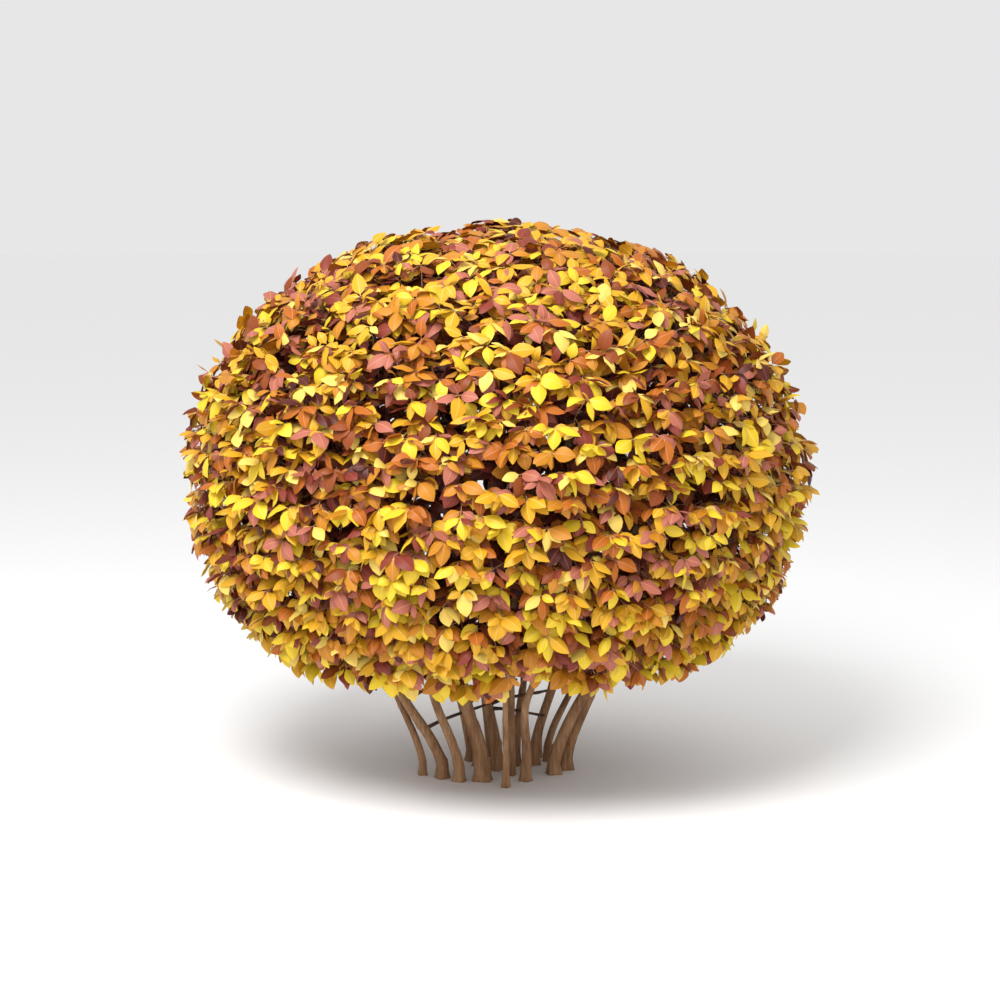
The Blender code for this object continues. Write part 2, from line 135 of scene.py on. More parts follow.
# A stem's taper, as shares of its radius: at the cut, where it leaves the foot, above that and at its tip
COLLAR_HEIGHT = 0.030
FOOT_SHARE = 1.42
COLLAR_SHARE = 1.14
LOW_SHARE = 1.06
TIP_SHARE = 0.50
COLLAR_FADE = 8

# The low boughs: the stem that each one leaves, the height where it does, its radius and its mass
BOUGHS = (
    ("bough_east", "stem_east", 0.27, 0.0085, "lower_foliage_1"),
    ("bough_east_north", "stem_east_north", 0.27, 0.0070, "lower_foliage_2"),
    ("bough_north", "stem_north_east", 0.28, 0.0080, "lower_foliage_3"),
    ("bough_north_west", "stem_north", 0.27, 0.0085, "lower_foliage_4"),
    ("bough_west", "stem_west", 0.25, 0.0070, "lower_foliage_5"),
    ("bough_south_west", "stem_south_west", 0.27, 0.0085, "lower_foliage_7"),
    ("bough_south_east", "stem_south_east", 0.26, 0.0075, "lower_foliage_8"),
)
BOUGH_TIP_SHARE = 0.75
BOUGH_SAG = 0.15

# The thin shoots that cross the clump: the stem that each one leaves, its height there, and its far end
SHOOTS = (
    ("shoot_west_low", "stem_low_west", 0.120, (-0.018, -0.036, 0.172)),
    ("shoot_west_high", "stem_low_west", 0.190, (-0.120, -0.050, 0.236)),
    ("shoot_middle", "main_stem", 0.215, (-0.075, -0.060, 0.175)),
    ("shoot_east_high", "main_stem", 0.160, (0.120, -0.045, 0.205)),
    ("shoot_east_low", "main_stem", 0.150, (0.116, -0.020, 0.138)),
    ("shoot_back", "stem_north_west", 0.130, (0.050, 0.110, 0.200)),
)
SHOOT_RADIUS = 0.0040
SHOOT_TIP_SHARE = 0.85
SIDE_LIFT = 0.25

# The limbs' sway and their bark's relief: ridges and grain that run up the limb, old scars, the lobes of the
# foot and the collar where a side limb leaves. Each limb reads its own stretch of the noise, by its seed
COLLAR_STEPS = 5
STEM_STEPS = 34
STEM_SIDES = 28
SIDE_LIMB_STEPS = 26
SIDE_LIMB_SIDES = 14
SWAY = 0.0045
SWAY_PITCH = 2.3
SWAY_FADE = 0.5
SWAY_SEED_STEP = 7.3
RIDGE = 0.050
RIDGE_ROUND = 1.7
RIDGE_ALONG = 9.0
RIDGE_SEED_STEP = 5
GRAIN = 0.022
GRAIN_ROUND = 5.0
GRAIN_ALONG = 26.0
GRAIN_SEED_STEP = 9
SCARS = 7
SCAR_SIZE = 0.011
SCAR_DEPTH = 0.24
SCAR_EDGE = 2.5
SCAR_STANDINGS = (-0.6, 1.0)
SCAR_FREE_PART = 12
FOOT_LOBES = 4
FOOT_LOBE = 0.13
FOOT_HEIGHT = 0.06
BRANCH_COLLAR = 0.55
BRANCH_COLLAR_LENGTH = 0.022

# The ends of the twigs, in the leafy shell and in the thinner layer behind it, whose dark tints are painted
# shade. They keep back by as much as the leaves hang past them, and gather in level tiers that wander up and
# down
SHELL_WAYS = 3700
SHELL_REACH = (0.925, 1.008)
INNER_WAYS = 2300
INNER_REACH = (0.72, 0.87)
WAY_LOOSENESS = 0.028
LEAF_HANG_TOP = 0.012
LEAF_HANG_SIDE = 0.026
LEAF_HANG_BOTTOM = 0.046
HEM_MARGIN = 0.060
HEM_RAGGED = 0.040
TIER = 0.056
TIER_PULL = 0.74
TIER_WANDER = 1.5
TIER_PITCH = 2.4

# The forks: how deep in the crown twigs part for two ends, and how much deeper for each doubling
TWIG_FOOT = 0.87
FORK_STEP = 0.062
DEEPEST_FORK = 0.60
FORK_CLEARANCE = 0.02
SHORTEST_RUN = 0.01
TWIG_OUTWARD = 0.5
TWIG_SAG = 0.12
TWIG_RADIUS = 0.0012
TWIG_SIDES = 4
TWIG_STEPS = 3
BARKED_RADIUS = 0.0024
TWIG_TAPER = 0.86

# A leaf's way is mixed from its twig's way out, a way aside and the pull down. Its upper side faces up and
# out. A whorl stands at each twig's end, with a pair behind it where the twig ends in the shell
OUTWARD = 0.42
ASIDE = 0.85
DROOP = 0.34
LOW_DROOP = 0.32
LIFTED_SHARE = 0.30
FACE_OUTWARD = 0.7
UPRIGHT_LIMIT = 0.25
WHORL_TURN = 0.45
LEAF_TURN = 0.55
LEAF_ROLL = 0.42
END_WHORLS = (3, 4, 4)
PAIR = 2
PAIR_SPACING = 0.030
INNER_WHORL = 4

# A leaf's size and form: its arch, its fold along the rib, its outline's fullest place, and its waved edge
LEAF_ROOT = 0.002
LEAF_LENGTH = 0.052
LEAF_LENGTHS = (0.66, 1.24)
LEAF_ASPECT = (0.50, 0.64)
LEAF_ARCH = (0.6, 1.8)
LEAF_LIFT = 0.38
LEAF_FOLD = (0.05, 0.50)
LEAF_BODY = (0.75, 0.95)
LEAF_ROWS = (0.0, 0.07, 0.20, 0.38, 0.57, 0.76, 0.90, 1.0)
PETIOLE_END = 0.07
RIB_WIDTH = 0.00075
RIB_TAPER = 0.6
EDGE_WAVE = 0.0016
EDGE_WAVES = 9
MERGE_DISTANCE = 1e-5

# The columns of a leaf's row of numbers
ROOT, WAY, FACE = slice(0, 3), slice(3, 6), slice(6, 9)
LENGTH, WIDTH, ARCH, FOLD, PHASE, TINT = range(9, 15)

# The tints: colour, and each one's share low in the crown, high in it, behind the ends, and in the inner
# layer, where the heavy shares of maroon, russet and wine are painted shade in the crown's gaps
TINTS = (
    ("lemon", (0.700, 0.490, 0.022), 25, 12, 8, 0),
    ("butter", (0.760, 0.540, 0.105), 9, 8, 5, 0),
    ("gold", (0.630, 0.325, 0.014), 26, 20, 16, 1),
    ("amber", (0.480, 0.190, 0.012), 15, 20, 18, 5),
    ("orange", (0.400, 0.110, 0.010), 6, 13, 12, 8),
    ("russet", (0.230, 0.050, 0.009), 5, 9, 13, 24),
    ("rose", (0.400, 0.122, 0.080), 9, 10, 13, 3),
    ("wine", (0.210, 0.036, 0.022), 4, 6, 10, 16),
    ("maroon", (0.075, 0.012, 0.007), 2, 3, 6, 44),
)
RIBS = (
    ("pale_rib", (0.740, 0.520, 0.150)),
    ("rosy_rib", (0.580, 0.250, 0.120)),
    ("dark_rib", (0.260, 0.080, 0.035)),
)
RIB_OF_TINT = (0, 0, 0, 1, 1, 2, 1, 2, 2)
SPRAY_SHARE = 0.62
TINT_WANDER = 0.5
TINT_PITCH = 3.3
LEAF_ROUGHNESS = 0.48
LEAF_SHINE = 0.26

# The bark. Each noise: its scale across and up the limb, its detail and its roughness. Dark, middle and pale
# tones lie at their places on the mix of streaks and patches
BARK_STREAKS = ((150, 150, 16), 5.0, 0.62)
BARK_PATCHES = ((26, 26, 9), 3.0, 0.5)
BARK_GRAIN = ((620, 620, 130), 3.0, 0.6)
STREAK_SHARE = 0.55
PATCH_SHARE = 0.45
GRAIN_SHARE = 0.35
TONE_PLACES = (0.30, 0.48, 0.68)
STEM_TONES = ((0.125, 0.058, 0.026), (0.275, 0.142, 0.066), (0.450, 0.270, 0.145))
SHOOT_TONES = ((0.030, 0.016, 0.012), (0.070, 0.036, 0.022), (0.150, 0.080, 0.048))
BUMP_STRENGTH = 0.55
BUMP_DEPTH = 0.0012
BARK_ROUGHNESS = (0.62, 0.86)
BARK_SHINE = 0.30

# The bark of thin twigs and of thicker branches in the crown: colour and roughness
TWIG_BARKS = (
    ("twig_bark", (0.400, 0.225, 0.115), 0.7),
    ("branch_bark", (0.150, 0.072, 0.036), 0.8),
)


def compass(bearing, height_angle=0.0):
    """The unit vector at a bearing from +X towards +Y and an angle above level, both in degrees."""
    bearing, height = math.radians(bearing), math.radians(height_angle)
    return Vector(
        (
            math.cos(bearing) * math.cos(height),
            math.sin(bearing) * math.cos(height),
            math.sin(height),
        )
    )


def place_camera():
    """The camera at the photo's viewing angle."""
    lens = bpy.data.cameras.new("camera")
    lens.lens = FOCAL_LENGTH
    lens.sensor_width = SENSOR_WIDTH
    camera = bpy.data.objects.new("camera", lens)
    camera.location = AIM + compass(CAMERA_BEARING, CAMERA_HEIGHT_ANGLE) * CAMERA_DISTANCE
    camera.rotation_euler = (AIM - camera.location).to_track_quat("-Z", "Y").to_euler()
    bpy.context.scene.collection.objects.link(camera)
    bpy.context.scene.camera = camera


def crown_reach(way):
    """How far the clipped outline lies from the crown's middle, along a unit vector."""
    across = math.hypot(way.x, way.y) / (CROWN_WIDTH / 2)
    if way.z > 0:
        upright, power = way.z / (CROWN_TOP - CROWN_MIDDLE), ROUND_TOP
    else:
        upright, power = -way.z / (CROWN_MIDDLE - CROWN_BOTTOM), FULL_BOTTOM
    lumps = 1 + LUMP * noise.noise(way * LUMP_PITCH)
    return lumps / (across**power + upright**power) ** (1 / power)


def mass_sectors():
    """Each mass's bearing, its way out from the crown's middle, and the point where it is fed."""
    sectors = {}
    for ring, count, height_angle, first in RINGS:
        for i in range(count):
            name = ring if count == 1 else f"{ring}_{i + 1}"
            bearing = first + 360 * i / count
            way, outward = compass(bearing, height_angle), compass(bearing)
            if ring == "middle_foliage":
                inlet = outward * MIDDLE_BACK + UP * MIDDLE_INLET
            elif ring == "lower_foliage":
                inlet = outward * (FAN_FOOT + FAN_SLOPE * LOWER_INLET) + UP * LOWER_INLET
            else:
                inlet = MIDDLE + way * HOLLOW_RADIUS
            sectors[name] = {"bearing": bearing, "way": way, "inlet": inlet, "ends": []}
    return sectors


def curved(start, leaving, end, arriving, steps):
    """Points of a smooth curve between two places, with its way at each end. The start is left out."""
    places = []
    for i in range(1, steps + 1):
        t = i / steps
        places.append(
            start * (2 * t**3 - 3 * t**2 + 1)
            + leaving * (t**3 - 2 * t**2 + t)
            + end * (3 * t**2 - 2 * t**3)
            + arriving * (t**3 - t**2)
        )
    return places


def swayed(path, seed):
    """The path with slight wanderings aside, which fade out at its ends."""
    moved, last = [], len(path) - 1
    for i, place in enumerate(path):
        t = i / last
        wander = noise.noise_vector(Vector((seed * SWAY_SEED_STEP, t * SWAY_PITCH, seed)))
        wander.z = 0
        moved.append(place + wander * SWAY * math.sin(math.pi * t) ** SWAY_FADE)
    return moved


def stem_path(foot, lean, radius, sector, seed):
    """A stem's points and radii, from its flat cut at the ground to the mass that it feeds."""
    ground = Vector((*foot, 0))
    collar = ground + UP * COLLAR_HEIGHT
    knee = Vector((foot[0] + lean[0], foot[1] + lean[1], KNEE))
    inlet = sector["inlet"]
    at_knee = (inlet - collar).normalized()
    into = (sector["way"] + at_knee).normalized()
    lower, upper = (knee - collar).length, (inlet - knee).length
    path = [ground.lerp(collar, i / COLLAR_STEPS) for i in range(COLLAR_STEPS + 1)]
    rise = curved(collar, (UP + at_knee) * lower / 2, knee, at_knee * lower, STEM_STEPS)
    rise += curved(knee, at_knee * upper, inlet, into * upper, STEM_STEPS)
    path += swayed(rise, seed)
    radii = []
    for i in range(COLLAR_STEPS + 1):
        spread = (1 - i / COLLAR_STEPS) ** 2
        radii.append(radius * (COLLAR_SHARE + (FOOT_SHARE - COLLAR_SHARE) * spread))
    for i in range(1, 2 * STEM_STEPS + 1):
        t = i / (2 * STEM_STEPS)
        share = LOW_SHARE + (TIP_SHARE - LOW_SHARE) * t
        radii.append(radius * (share + (COLLAR_SHARE - LOW_SHARE) * max(0.0, 1 - t * COLLAR_FADE) ** 2))
    return path, radii


def at_height(path, radii, height):
    """The place and the radius of a stem at a height."""
    for low, high, thick, thin in zip(path, path[1:], radii, radii[1:], strict=False):
        if low.z <= height <= high.z:
            t = (height - low.z) / (high.z - low.z)
            return low.lerp(high, t), thick + (thin - thick) * t
    return path[-1], radii[-1]


def side_limb_path(stem, height, radius, tip_radius, end, arriving):
    """The points and radii of a bough or shoot that leaves a stem's side in a swollen collar."""
    start, _ = at_height(*stem, height)
    span = (end - start).length
    leaving = ((end - start).normalized() + UP * SIDE_LIFT).normalized()
    path = [start, *curved(start, leaving * span, end, arriving * span, SIDE_LIMB_STEPS)]
    radii = []
    for i in range(SIDE_LIMB_STEPS + 1):
        t = i / SIDE_LIMB_STEPS
        swelling = BRANCH_COLLAR * math.exp(-t * span / BRANCH_COLLAR_LENGTH)
        radii.append((radius + (tip_radius - radius) * t) * (1 + swelling))
    return path, radii


def link(name, mesh, materials):
    """An object of the mesh at the origin, wearing the materials."""
    for material in materials:
        mesh.materials.append(material)
    obj = bpy.data.objects.new(name, mesh)
    bpy.context.scene.collection.objects.link(obj)
    return obj


def bark_relief(round_way, along, seed):
    """How far the bark stands out at a way round the limb and a length along it, as a share of the radius."""
    ridge_along = along * RIDGE_ALONG + seed * RIDGE_SEED_STEP
    grain_along = along * GRAIN_ALONG + seed * GRAIN_SEED_STEP
    ridge = Vector((round_way.x * RIDGE_ROUND, round_way.y * RIDGE_ROUND, ridge_along))
    grain = Vector((round_way.x * GRAIN_ROUND, round_way.y * GRAIN_ROUND, grain_along))
    return RIDGE * noise.noise(ridge) + GRAIN * noise.noise(grain)


def scar_places(rings, draw):
    """Old scars on a limb: a place on its surface each, and whether it stands out or lies in."""
    scars = []
    for _ in range(SCARS):
        ring = rings[draw.randrange(len(rings) // SCAR_FREE_PART, len(rings))]
        scars.append((draw.choice(ring).co.copy(), draw.choice(SCAR_STANDINGS)))
    return scars


def smooth_limb(path, radii, sides, rooted):
    """A ring drawn out along the path, open at both ends. Returns the limb and its rings."""
    built = bmesh.new()
    bmesh.ops.create_circle(built, segments=sides, radius=1.0)
    ring, edges, rings = list(built.verts), list(built.edges), []
    before, turn = Matrix(), (path[1] - path[0]).to_track_quat("Z", "Y")
    ways = [(after - place).normalized() for place, after in zip(path, path[1:], strict=False)]
    ways.append(ways[-1])
    if rooted:
        ways[0] = UP
        turn = UP.to_track_quat("Z", "Y")
    for i, (place, radius) in enumerate(zip(path, radii, strict=True)):
        if i:
            drawn = bmesh.ops.extrude_edge_only(built, edges=edges)["geom"]
            ring = [item for item in drawn if isinstance(item, bmesh.types.BMVert)]
            edges = [item for item in drawn if isinstance(item, bmesh.types.BMEdge)]
            edges = [edge for edge in edges if all(vert in ring for vert in edge.verts)]
            turn = ways[i - 1].rotation_difference(ways[i]) @ turn
        after = Matrix.LocRotScale(place, turn, Vector((radius, radius, radius)))
        bmesh.ops.transform(built, matrix=after @ before.inverted(), verts=ring)
        before = after
        rings.append(ring)
    return built, rings


def bark_body(path, radii, sides, seed, rooted):
    """A limb with its bark's relief: its rings pushed in and out, and its ends closed."""
    built, rings = smooth_limb(path, radii, sides, rooted)
    draw = random.Random(seed)
    scars = scar_places(rings, draw)
    lobe_turn, along = draw.uniform(0, math.tau), 0.0
    for i, (ring, place, radius) in enumerate(zip(rings, path, radii, strict=True)):
        along += (place - path[max(i - 1, 0)]).length
        for vert in ring:
            outward = vert.co - place
            share = 1 + bark_relief(outward / radius, along, seed)
            if rooted:
                bearing = math.atan2(outward.y, outward.x)
                foot = max(0.0, 1 - along / FOOT_HEIGHT) ** 2
                share += FOOT_LOBE * foot * math.sin(FOOT_LOBES * bearing + lobe_turn)
            for scar, standing in scars:
                off = (vert.co - scar).length / SCAR_SIZE
                share += SCAR_DEPTH * standing * math.exp(-(off**2) * SCAR_EDGE)
            vert.co = place + outward * share
            if rooted and i == 0:
                vert.co.z = 0
    for end in (rings[0], rings[-1]):
        bmesh.ops.contextual_create(built, geom=end)
    bmesh.ops.recalc_face_normals(built, faces=built.faces)
    # The extrusion leaves the faces in another order on each run
    built.verts.index_update()
    steady = sorted(built.faces, key=lambda face: sorted(vert.index for vert in face.verts))
    for number, face in enumerate(steady):
        face.index = number
    built.faces.sort()
    return built


def bark_piece(name, limbs, material):
    """One piece of bark over limbs, each told by its path, radii, sides, seed and whether it is rooted."""
    joined = bmesh.new()
    for limb in limbs:
        built = bark_body(*limb)
        mesh = bpy.data.meshes.new("limb")
        built.to_mesh(mesh)
        built.free()
        joined.from_mesh(mesh)
        bpy.data.meshes.remove(mesh)
    mesh = bpy.data.meshes.new(name)
    joined.to_mesh(mesh)
    joined.free()
    mesh.shade_smooth()
    return link(name, mesh, [material])


def even_ways(count):
    """Even ways out over the whole crown, apart from the stems' opening below."""
    golden = math.pi * (3 - math.sqrt(5))
    lowest = math.sin(math.radians(OPENING_ANGLE))
    for i in range(count):
        height = 1 - (1 - lowest) * (i + 0.5) / count
        flat = math.sqrt(1 - height**2)
        yield Vector((flat * math.cos(golden * i), flat * math.sin(golden * i), height))


def leaf_hang(way):
    """How far the leaves hang beyond a twig's end that points this way."""
    polar = LEAF_HANG_TOP if way.z > 0 else LEAF_HANG_BOTTOM
    return LEAF_HANG_SIDE + (polar - LEAF_HANG_SIDE) * abs(way.z)


def twig_ends(count, reach_shares, draw):
    """Twig ends over the crown: even, a little loosened, and gathered in level tiers."""
    for way in even_ways(count):
        loose = Vector([draw.gauss(0, WAY_LOOSENESS) for _ in range(3)])
        share = draw.uniform(*reach_shares)
        way = (way + loose).normalized()
        reach = crown_reach(way)
        if draw.random() > (reach * 2 / CROWN_WIDTH) ** 2:
            continue
        place = MIDDLE + way * reach
        level = place.z / TIER + TIER_WANDER * noise.noise(place * TIER_PITCH)
        place.z += TIER_PULL * TIER * (round(level) - level)
        way = (place - MIDDLE).normalized()
        place = MIDDLE + way * (crown_reach(way) * share - leaf_hang(way))
        if place.z > HEM + HEM_MARGIN + draw.uniform(0, HEM_RAGGED):
            yield place, way


def halves(ends):
    """The ends in two groups, parted across the way in which they spread furthest."""
    places = np.array([end["place"] for end in ends])
    spread = places - places.mean(axis=0)
    widest = np.linalg.svd(spread, full_matrices=False)[2][0]
    order = np.argsort(spread @ widest, kind="stable")
    cut = len(ends) // 2
    return [ends[i] for i in order[:cut]], [ends[i] for i in order[cut:]]


def fork_place(ends, start):
    """Where the twigs of these ends part: deeper in the crown the more ends there are."""
    if len(ends) == 1:
        return ends[0]["place"]
    between = sum((end["place"] - MIDDLE for end in ends), Vector()).normalized()
    nearest = min((end["place"] - MIDDLE).length for end in ends)
    depth = TWIG_FOOT - FORK_STEP * (math.log2(len(ends)) - 1)
    depth = min(crown_reach(between) * max(depth, DEEPEST_FORK), nearest - FORK_CLEARANCE)
    place = MIDDLE + between * depth
    outward = (place - start).dot(between)
    return place if outward > 0 else start + between * SHORTEST_RUN


def grow_twigs(start, leaving, ends, thickness, twigs):
    """Forks a twig again and again until each end has its own. Thickness follows the number of ends."""
    for part in halves(ends) if len(ends) > 1 else [ends]:
        foot = fork_place(part, start)
        span = (foot - start).length
        ahead = (foot - start).normalized()
        outward = (foot - MIDDLE).normalized()
        setting_out = (leaving + ahead).normalized()
        arriving = (ahead + outward * TWIG_OUTWARD - UP * TWIG_SAG).normalized()
        path = [start, *curved(start, setting_out * span, foot, arriving * span, TWIG_STEPS)]
        thick = thickness(len(part))
        twigs.append((path, thick, thick * TWIG_TAPER))
        if len(part) > 1:
            grow_twigs(foot, arriving, part, thickness, twigs)
        else:
            part[0]["arriving"] = arriving


def grow_mass(sector, arrival, limb_radius):
    """The twigs of one mass, which branch from the limb's end out to the mass's own ends."""
    ends, twigs = sector["ends"], []
    power = math.log(limb_radius / TWIG_RADIUS) / math.log(len(ends))

    def thickness(count):
        return TWIG_RADIUS * count**power

    foot = fork_place(ends, sector["inlet"])
    span = (foot - sector["inlet"]).length
    ahead = (foot - sector["inlet"]).normalized()
    path = [sector["inlet"], *curved(sector["inlet"], arrival * span, foot, ahead * span, TWIG_STEPS)]
    twigs.append((path, limb_radius, limb_radius * TWIG_TAPER))
    grow_twigs(foot, ahead, ends, thickness, twigs)
    return twigs


def deal_tint(end, column, draw):
    """A tint's number, dealt by the shares of a place in the crown: at the ends, behind them, or in the inner
    layer, whose dark shares are painted shade.
    """
    if column == "ends":
        high = (end["place"].z - HEM) / (CROWN_TOP - HEM)
        warm = min(1.0, max(0.0, high + TINT_WANDER * noise.noise(end["place"] * TINT_PITCH)))
        shares = [low + (top - low) * warm for _, _, low, top, _, _ in TINTS]
    elif column == "behind":
        shares = [behind for _, _, _, _, behind, _ in TINTS]
    else:
        # The inner layer's shares lean to maroon, russet and wine: painted shade in the gaps
        shares = [inside_painted_shade for _, _, _, _, _, inside_painted_shade in TINTS]
    return draw.choices(range(len(TINTS)), shares)[0]


def grow_whorl(end, distance, count, column, draw, leaves):
    """The leaves round a twig at a distance behind its end."""
    out = end["way"]
    side = UP.cross(out)
    if side.length < UPRIGHT_LIMIT:
        side = out.orthogonal()
        side.rotate(Matrix.Rotation(draw.uniform(0, math.tau), 3, out))
    side.normalize()
    lift = out.cross(side)
    root = end["place"] - end["arriving"] * distance
    spray_tint = deal_tint(end, column, draw)
    droop = DROOP + LOW_DROOP * max(0.0, -out.z)
    turn = draw.uniform(-WHORL_TURN, WHORL_TURN)
    levelled = 1 - abs(out.z)
    for i in range(count):
        angle = turn + math.pi * i - math.pi / 2 * (i // 2) + draw.uniform(-LEAF_TURN, LEAF_TURN)
        up_share = math.sin(angle)
        if up_share > 0:
            up_share *= 1 - levelled * (1 - LIFTED_SHARE)
        sideways = side * math.cos(angle) + lift * up_share
        way = (out * OUTWARD + sideways * ASIDE - UP * droop).normalized()
        face = UP + out * FACE_OUTWARD
        face = (face - way * face.dot(way)).normalized()
        face.rotate(Matrix.Rotation(draw.gauss(0, LEAF_ROLL), 3, way))
        length = LEAF_LENGTH * draw.uniform(*LEAF_LENGTHS)
        tint = spray_tint if draw.random() < SPRAY_SHARE else deal_tint(end, column, draw)
        leaves.append(
            (
                *(root + way * LEAF_ROOT),
                *way,
                *face,
                length,
                length * draw.uniform(*LEAF_ASPECT),
                draw.uniform(*LEAF_ARCH),
                draw.uniform(*LEAF_FOLD),
                draw.uniform(0, math.tau),
                tint,
            )
        )


def leaf_pattern():
    """The flat leaf that all leaves are bent from: its points across and along, its faces and its rib."""
    built = bmesh.new()
    # Three faces across: one half of the blade, the rib, and the other half
    bmesh.ops.create_grid(built, x_segments=3, y_segments=len(LEAF_ROWS) - 1, size=1.0)
    rises, falls = LEAF_BODY
    widest = rises / (rises + falls)
    fullest = widest**rises * (1 - widest) ** falls
    for vert in built.verts:
        row = round((vert.co.y + 1) / 2 * (len(LEAF_ROWS) - 1))
        along = LEAF_ROWS[row]
        body = max(0.0, (along - PETIOLE_END) / (1 - PETIOLE_END))
        edge = body**rises * (1 - body) ** falls / fullest
        rib = 1 - RIB_TAPER * along if along < 1 else 0.0
        at_edge = abs(vert.co.x) > 0.5
        sign = math.copysign(1, vert.co.x)
        # Across, the third coordinate holds the rib's own width, which doesn't grow with the leaf
        vert.co = Vector((sign * edge if at_edge else 0.0, along, sign * rib))
    bmesh.ops.remove_doubles(built, verts=built.verts, dist=MERGE_DISTANCE)
    built.verts.index_update()
    points = np.array([vert.co for vert in built.verts])
    faces = [[vert.index for vert in face.verts] for face in built.faces]
    on_rib = [all(abs(points[i][0]) < MERGE_DISTANCE for i in face) for face in faces]
    built.free()
    return points, faces, on_rib


def leaf_points(points, rows):
    """The leaf's pattern bent, folded and set at its place, for all leaves at once."""
    root, way, face = (rows[:, None, columns] for columns in (ROOT, WAY, FACE))
    length, width, arch, fold, phase = (rows[:, i, None] for i in (LENGTH, WIDTH, ARCH, FOLD, PHASE))
    across, along, rib = points[None, :, 0], points[None, :, 1], points[None, :, 2]
    side = np.cross(way, face)
    lifted = arch * LEAF_LIFT
    run = (np.sin(lifted) - np.sin(lifted - arch * along)) / arch * length
    rise = (np.cos(lifted - arch * along) - np.cos(lifted)) / arch * length
    pitch = lifted - arch * along
    half = across * width / 2
    aside = half * np.cos(fold) + rib * RIB_WIDTH
    wave = EDGE_WAVE * np.abs(across) * np.sin(along * EDGE_WAVES + phase)
    sunk = -np.abs(half) * np.sin(fold) + wave
    forward = run - np.sin(pitch) * sunk
    upward = rise + np.cos(pitch) * sunk
    return root + side * aside[..., None] + way * forward[..., None] + face * upward[..., None]


def joined_mesh(name, points, corners, counts, slots):
    """A mesh from arrays: points, each face's corners in turn, how many each face has, and its slot."""
    mesh = bpy.data.meshes.new(name)
    mesh.vertices.add(len(points))
    mesh.vertices.foreach_set("co", np.ascontiguousarray(points, dtype=np.float32).ravel())
    mesh.loops.add(len(corners))
    mesh.loops.foreach_set("vertex_index", np.ascontiguousarray(corners, dtype=np.int32))
    mesh.polygons.add(len(counts))
    starts = np.concatenate(([0], np.cumsum(counts)[:-1]))
    mesh.polygons.foreach_set("loop_start", starts.astype(np.int32))
    mesh.polygons.foreach_set("material_index", np.ascontiguousarray(slots, dtype=np.int32))
    mesh.polygons.foreach_set("use_smooth", np.ones(len(counts), dtype=bool))
    mesh.update(calc_edges=True)
    mesh.validate()
    return mesh


def leaf_piece(name, rows, pattern, materials):
    """All leaves of a part of the crown as one piece."""
    rows = np.array(rows)
    points, faces, on_rib = pattern
    placed = leaf_points(points, rows).reshape(-1, 3)
    corner_pattern = np.array([i for face in faces for i in face])
    count_pattern = np.array([len(face) for face in faces])
    offsets = np.arange(len(rows)) * len(points)
    corners = (corner_pattern[None] + offsets[:, None]).ravel()
    tints = rows[:, TINT].astype(int)
    ribs = len(TINTS) + np.array(RIB_OF_TINT)[tints]
    slots = np.where(np.array(on_rib)[None], ribs[:, None], tints[:, None]).ravel()
    mesh = joined_mesh(name, placed, corners, np.tile(count_pattern, len(rows)), slots)
    return link(name, mesh, materials)


def twig_rings(path, thick, thin):
    """The rings of points round one tapering twig."""
    angles = np.arange(TWIG_SIDES) * math.tau / TWIG_SIDES
    places = np.array(path)
    ways = np.gradient(places, axis=0)
    ways /= np.linalg.norm(ways, axis=1)[:, None]
    side = np.array(Vector(ways[0]).orthogonal().normalized())
    rings = []
    radii = np.linspace(thick, thin, len(places))
    for place, way, radius in zip(places, ways, radii, strict=True):
        across = side - way * side.dot(way)
        across /= np.linalg.norm(across)
        lift = np.cross(way, across)
        ring = np.outer(np.cos(angles), across) + np.outer(np.sin(angles), lift)
        rings.append(place + ring * radius)
    return rings


def twig_piece(name, twigs, materials):
    """All twigs of a part of the crown as one piece: tapering rods with closed ends."""
    points, corners, counts, slots = [], [], [], []
    for path, thick, thin in twigs:
        first = len(points) * TWIG_SIDES
        points += twig_rings(path, thick, thin)
        slot = 1 if thick > BARKED_RADIUS else 0
        for i in range(len(path) - 1):
            low, high = first + i * TWIG_SIDES, first + (i + 1) * TWIG_SIDES
            for j in range(TWIG_SIDES):
                after = (j + 1) % TWIG_SIDES
                corners += [low + j, low + after, high + after, high + j]
                counts.append(4)
                slots.append(slot)
        last = first + (len(path) - 1) * TWIG_SIDES
        corners += [first + j for j in reversed(range(TWIG_SIDES))]
        corners += [last + j for j in range(TWIG_SIDES)]
        counts += [TWIG_SIDES] * 2
        slots += [slot] * 2
    mesh = joined_mesh(name, np.concatenate(points), corners, np.array(counts), np.array(slots))
    return link(name, mesh, materials)


def plain_material(name, colour, roughness, shine):
    """A satin or matt material of one colour, given as linear red, green and blue."""
    material = bpy.data.materials.new(name)
    material.use_nodes = True
    shader = material.node_tree.nodes["Principled BSDF"]
    shader.inputs["Base Color"].default_value = (*colour, 1)
    shader.inputs["Roughness"].default_value = roughness
    shader.inputs["Specular IOR Level"].default_value = shine
    material.diffuse_color = (*colour, 1)
    return material


